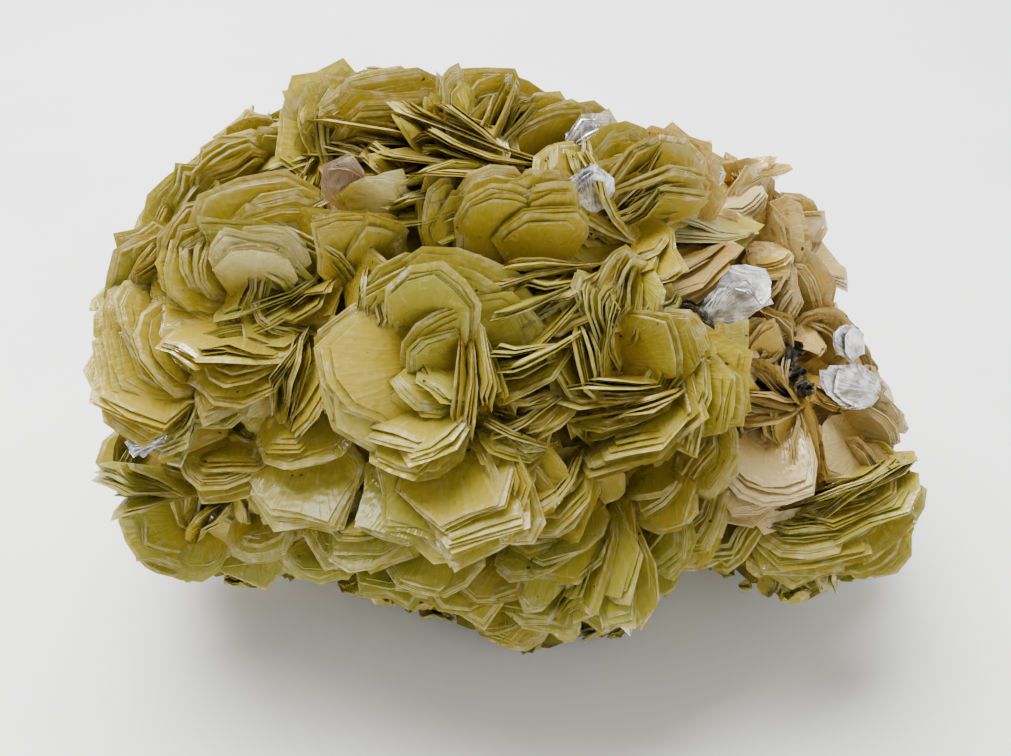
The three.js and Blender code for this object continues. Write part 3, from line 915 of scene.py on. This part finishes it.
class MicaShapeSettings(bpy.types.PropertyGroup):
    """Sizes of the sheets and of the mass that they grow from."""

    sheet_thickness: FloatProperty(
        name="Sheet Thickness", description="Thickness of a sheet at its root",
        default=0.08 * MM, unit="LENGTH")
    layers: IntProperty(
        name="Layers", description="Sheets in one plate", default=4, min=1, max=8)
    plate_thickness: FloatProperty(
        name="Plate Thickness", description="Thickness of a plate at its tip",
        default=0.55 * MM, unit="LENGTH")
    plate_gap: FloatProperty(
        name="Plate Gap", description="Space from plate to plate at their tips",
        default=0.85 * MM, unit="LENGTH")
    fewest_plates: IntProperty(
        name="Fewest Plates", description="Plates in a closed book", default=3, min=2)
    most_plates: IntProperty(
        name="Most Plates", description="Plates in a book that opens wide", default=16, min=2, max=40)
    rim_points: IntProperty(
        name="Rim Points", description="Points round the rim of a sheet", default=12, min=6, max=24)
    ragged_rim: FloatProperty(
        name="Ragged Rim", description="Unevenness of a sheet's outline", default=1.0, subtype="FACTOR")
    waviness: FloatProperty(
        name="Waviness", description="Height of the waves in a sheet", default=2.2 * MM, unit="LENGTH")
    fillers: IntProperty(
        name="Small Books", description="Small books tried over the whole mass", default=1200, min=0)
    core_grain: FloatProperty(
        name="Mass Grain", description="Size of the facets of the mass", default=1.4 * MM, unit="LENGTH")


def colour_setting(name, description, default):
    """A colour that a user would change."""
    return FloatVectorProperty(name=name, description=description, default=default, subtype="COLOR", size=3)


class MicaColourSettings(bpy.types.PropertyGroup):
    """Colours of the fresh, the weathered and the silvery mica."""

    # Deep is partly painted: the warm glow of light scattered between the stacked sheets at a book's root.
    deep: colour_setting("Deep", "Fresh mica at the root of a book", (0.6, 0.42, 0.025))
    honey: colour_setting("Honey", "Fresh mica of a warm tone", (0.54, 0.41, 0.04))
    olive: colour_setting("Olive", "Fresh mica of a cool tone", (0.48, 0.43, 0.055))
    # Rim is the sheets' own pale colour, and it also paints the highlight line along the rims.
    rim: colour_setting("Rim", "Pale rims of the sheets", (0.76, 0.68, 0.3))
    # Cream is the pale blades' rim colour, and it also paints the glints along the rims.
    cream: colour_setting("Cream", "Pale blades", (0.8, 0.71, 0.38))
    rust: colour_setting("Rust", "Weathered mica at the root", (0.54, 0.33, 0.05))
    tan: colour_setting("Tan", "Weathered mica of a warm tone", (0.7, 0.47, 0.08))
    ash: colour_setting("Ash", "Weathered mica of a grey tone", (0.64, 0.51, 0.25))
    # Bone also paints the highlight line along the rims of weathered mica.
    bone: colour_setting("Bone", "Rims of weathered mica", (0.77, 0.62, 0.26))
    silver: colour_setting("Silver", "Bright flakes", (0.9, 0.88, 0.87))
    brown: colour_setting("Brown", "The small brown crystal", (0.32, 0.2, 0.12))
    black: colour_setting("Black", "Dark grains in the clefts", (0.03, 0.027, 0.022))
    # The mass colour is dark as painted shade in the clefts between the books; it is also the rim colour of
    # the dark grains.
    core: colour_setting("Mass", "The mass between the books", (0.2, 0.15, 0.015))


class MicaStageSettings(bpy.types.PropertyGroup):
    """The floor, the lights and the lens."""

    floor: colour_setting("Floor", "Pale floor", (0.93, 0.94, 0.92))
    key_watts: FloatProperty(
        name="Key Light", description="Strength of the overhead light", default=14.0, unit="POWER")
    fill_watts: FloatProperty(
        name="Fill Light", description="Strength of the front light", default=2.0, unit="POWER")
    ambient: FloatProperty(
        name="Ambient", description="Strength of the even light all round", default=0.66)
    lens: FloatProperty(
        name="Lens", description="Focal length on a 36 mm sensor", default=60.0, unit="CAMERA")


# Operators

class MICA_OT_core(bpy.types.Operator):
    """Make the lumpy mass that the books grow from"""

    bl_idname = "mica.core"
    bl_label = "Intergrown Mass"

    def execute(self, context):
        shape = context.scene.mica_shape
        swell = -1.5
        mesh = bpy.data.meshes.new("intergrown_mass")
        piece = bpy.data.objects.new("intergrown_mass", mesh)
        context.scene.collection.objects.link(piece)
        join_lumps(mesh, swell)
        remesh = piece.modifiers.new("Facets", "REMESH")
        remesh.mode = "VOXEL"
        remesh.voxel_size = shape.core_grain
        evaluated = piece.evaluated_get(context.evaluated_depsgraph_get())
        piece.data = bpy.data.meshes.new_from_object(evaluated)
        piece.modifiers.clear()
        roughen(piece.data)
        piece.data.materials.append(finish("Olive mass"))
        dress(piece)
        return {"FINISHED"}


def join_lumps(mesh, swell):
    """Fills a mesh with every lump of the mass, swollen or shrunk by so many millimetres."""
    made = bmesh.new()
    for at, half in LUMPS:
        size = Matrix.Diagonal([*((part + swell) * MM for part in half), 1])
        place = Matrix.Translation(Vector(at) * MM) @ size
        bmesh.ops.create_icosphere(made, subdivisions=4, radius=1, matrix=place)
    made.to_mesh(mesh)
    made.free()


def roughen(mesh):
    """Breaks up the smooth mass and rests it flat."""
    depth = 1.6 * MM
    coarse, fine, fine_share = 260, 700, 0.5
    for vertex in mesh.vertices:
        shift = noise.noise(vertex.co * coarse) + fine_share * noise.noise(vertex.co * fine)
        vertex.co += vertex.normal * shift * depth
        vertex.co.z = max(vertex.co.z, 0)


class MICA_OT_seen_books(bpy.types.Operator):
    """Make the fresh yellow books that the photograph shows"""

    bl_idname = "mica.seen_books"
    bl_label = "Fresh Books"

    def execute(self, context):
        books = [seen_book(row) for row in HONEY_BOOKS]
        half = len(books) // 2
        first = FIRST_NUMBER["fresh_books"]
        build_books("fresh_books_upper", books[:half], first, finish("Honey mica"))
        build_books("fresh_books_lower", books[half:], first + half, finish("Honey mica"))
        return {"FINISHED"}


class MICA_OT_weathered_books(bpy.types.Operator):
    """Make the tan and grey books of the right flank and the left edge"""

    bl_idname = "mica.weathered_books"
    bl_label = "Weathered Books"

    def execute(self, context):
        books = [seen_book(row) for row in WEATHERED_BOOKS]
        build_group("weathered_books", books, "Weathered mica")
        return {"FINISHED"}


class MICA_OT_bright_books(bpy.types.Operator):
    """Make the pale blades and the silvery flakes"""

    bl_idname = "mica.bright_books"
    bl_label = "Pale and Silvery Books"

    def execute(self, context):
        rows = {
            "pale_blades": (PALE_BOOKS, "Pale mica"),
            "silver_flakes": (SILVER_BOOKS, "Silver mica"),
            "brown_crystal": (BROWN_BOOKS, "Brown mica"),
            "dark_grains": (DARK_BOOKS, "Dark mica"),
        }
        for name, (table, material) in rows.items():
            build_group(name, [seen_book(row, RISE[name]) for row in table], material)
        return {"FINISHED"}


class MICA_OT_back_books(bpy.types.Operator):
    """Make the books of the sides that the photograph doesn't show"""

    bl_idname = "mica.back_books"
    bl_label = "Back Books"

    def execute(self, context):
        books = back_books()
        fresh = [book for book in books if not is_weathered(book.root)]
        weathered = [book for book in books if is_weathered(book.root)]
        build_group("back_books", fresh, "Honey mica")
        build_group("back_weathered_books", weathered, "Weathered mica")
        return {"FINISHED"}


class MICA_OT_small_books(bpy.types.Operator):
    """Make the small books that fill the gaps"""

    bl_idname = "mica.small_books"
    bl_label = "Small Books"

    def execute(self, context):
        back_start = 8
        books = filler_books(context.scene.mica_shape.fillers)
        weathered = [book for book in books if is_weathered(book.root)]
        fresh = [book for book in books if not is_weathered(book.root)]
        back = [book for book in fresh if book.root[1] > back_start]
        front = [book for book in fresh if book.root[1] <= back_start]
        left = [book for book in front if book.root[0] < 0]
        right = [book for book in front if book.root[0] >= 0]
        build_group("small_fresh_books_left", left, "Honey mica")
        build_group("small_fresh_books_right", right, "Honey mica")
        build_group("small_fresh_books_back", back, "Honey mica")
        build_group("small_weathered_books", weathered, "Weathered mica")
        return {"FINISHED"}


class MICA_OT_stage(bpy.types.Operator):
    """Set up the floor, the soft lights and the camera"""

    bl_idname = "mica.stage"
    bl_label = "Stage"

    def execute(self, context):
        settings = context.scene.mica_stage
        overhead, in_front = (-0.12, 0.16, 0.55), (0.3, -0.6, 0.3)
        lay_floor(settings.floor)
        hang_light("overhead_light", overhead, 0.6, settings.key_watts)
        hang_light("front_light", in_front, 0.5, settings.fill_watts)
        world = bpy.data.worlds.new("Even light")
        world.use_nodes = True
        background = world.node_tree.nodes["Background"].inputs
        background["Color"].default_value = (1, 1, 1, 1)
        background["Strength"].default_value = settings.ambient
        context.scene.world = world
        aim_camera(settings.lens)
        return {"FINISHED"}


def lay_floor(colour):
    """A wide pale floor with faint clouds."""
    half, cloud_scale, darkest = 3.0, 18.0, 0.94
    corners = [(-half, -half, 0), (half, -half, 0), (half, half, 0), (-half, half, 0)]
    mesh = bpy.data.meshes.new("floor")
    mesh.from_pydata(corners, [], [(0, 1, 2, 3)])
    floor = bpy.data.objects.new("floor", mesh)
    bpy.context.scene.collection.objects.link(floor)
    material, w, shader = surface("Pale floor")
    clouds = w.noise(w.add("ShaderNodeTexCoord").outputs["Object"], cloud_scale, detail=4.0)
    shade = tuple(darkest * part for part in colour)
    w.put(shader.inputs["Base Color"], w.mixed(w.ramp(clouds, start=0.3, end=0.7), (*shade, 1), (*colour, 1)))
    shader.inputs["Roughness"].default_value = 0.55
    mesh.materials.append(material)


def hang_light(name, place, size, watts):
    """A square soft light that faces the specimen."""
    light = bpy.data.lights.new(name, "AREA")
    light.size = size
    light.energy = watts
    lamp = bpy.data.objects.new(name, light)
    lamp.location = place
    towards = Vector(CENTRE * MM) - lamp.location
    lamp.rotation_euler = towards.to_track_quat("-Z", "Y").to_euler()
    bpy.context.scene.collection.objects.link(lamp)


def aim_camera(lens):
    """A camera at the photograph's angle."""
    camera = bpy.data.objects.new("camera", bpy.data.cameras.new("camera"))
    camera.data.lens = lens
    camera.data.clip_start = 0.01
    camera.location = EYE * MM
    camera.rotation_euler = Vector(-TO_VIEWER).to_track_quat("-Z", "Y").to_euler()
    bpy.context.scene.collection.objects.link(camera)
    bpy.context.scene.camera = camera


class MICA_PT_panel(bpy.types.Panel):
    """The mica crystal's settings and pieces"""

    bl_idname = "MICA_PT_panel"
    bl_label = "Mica Crystal"
    bl_space_type = "VIEW_3D"
    bl_region_type = "UI"
    bl_category = "Mica"

    def draw(self, context):
        for settings in (context.scene.mica_shape, context.scene.mica_colours, context.scene.mica_stage):
            for name in settings.__annotations__:
                self.layout.prop(settings, name)
        for operator in OPERATORS:
            self.layout.operator(operator.bl_idname)


OPERATORS = (
    MICA_OT_core,
    MICA_OT_seen_books,
    MICA_OT_weathered_books,
    MICA_OT_bright_books,
    MICA_OT_back_books,
    MICA_OT_small_books,
    MICA_OT_stage,
)
SETTINGS = {
    "mica_shape": MicaShapeSettings,
    "mica_colours": MicaColourSettings,
    "mica_stage": MicaStageSettings,
}


def register():
    for kind in (*SETTINGS.values(), *OPERATORS, MICA_PT_panel):
        bpy.utils.register_class(kind)
    for name, kind in SETTINGS.items():
        setattr(bpy.types.Scene, name, PointerProperty(type=kind))


def unregister():
    for name in SETTINGS:
        delattr(bpy.types.Scene, name)
    for kind in (MICA_PT_panel, *reversed(OPERATORS), *SETTINGS.values()):
        bpy.utils.unregister_class(kind)


def main():
    register()
    bpy.ops.mica.stage()
    bpy.ops.mica.core()
    bpy.ops.mica.seen_books()
    bpy.ops.mica.weathered_books()
    bpy.ops.mica.bright_books()
    bpy.ops.mica.back_books()
    bpy.ops.mica.small_books()


if __name__ == "__main__":
    main()
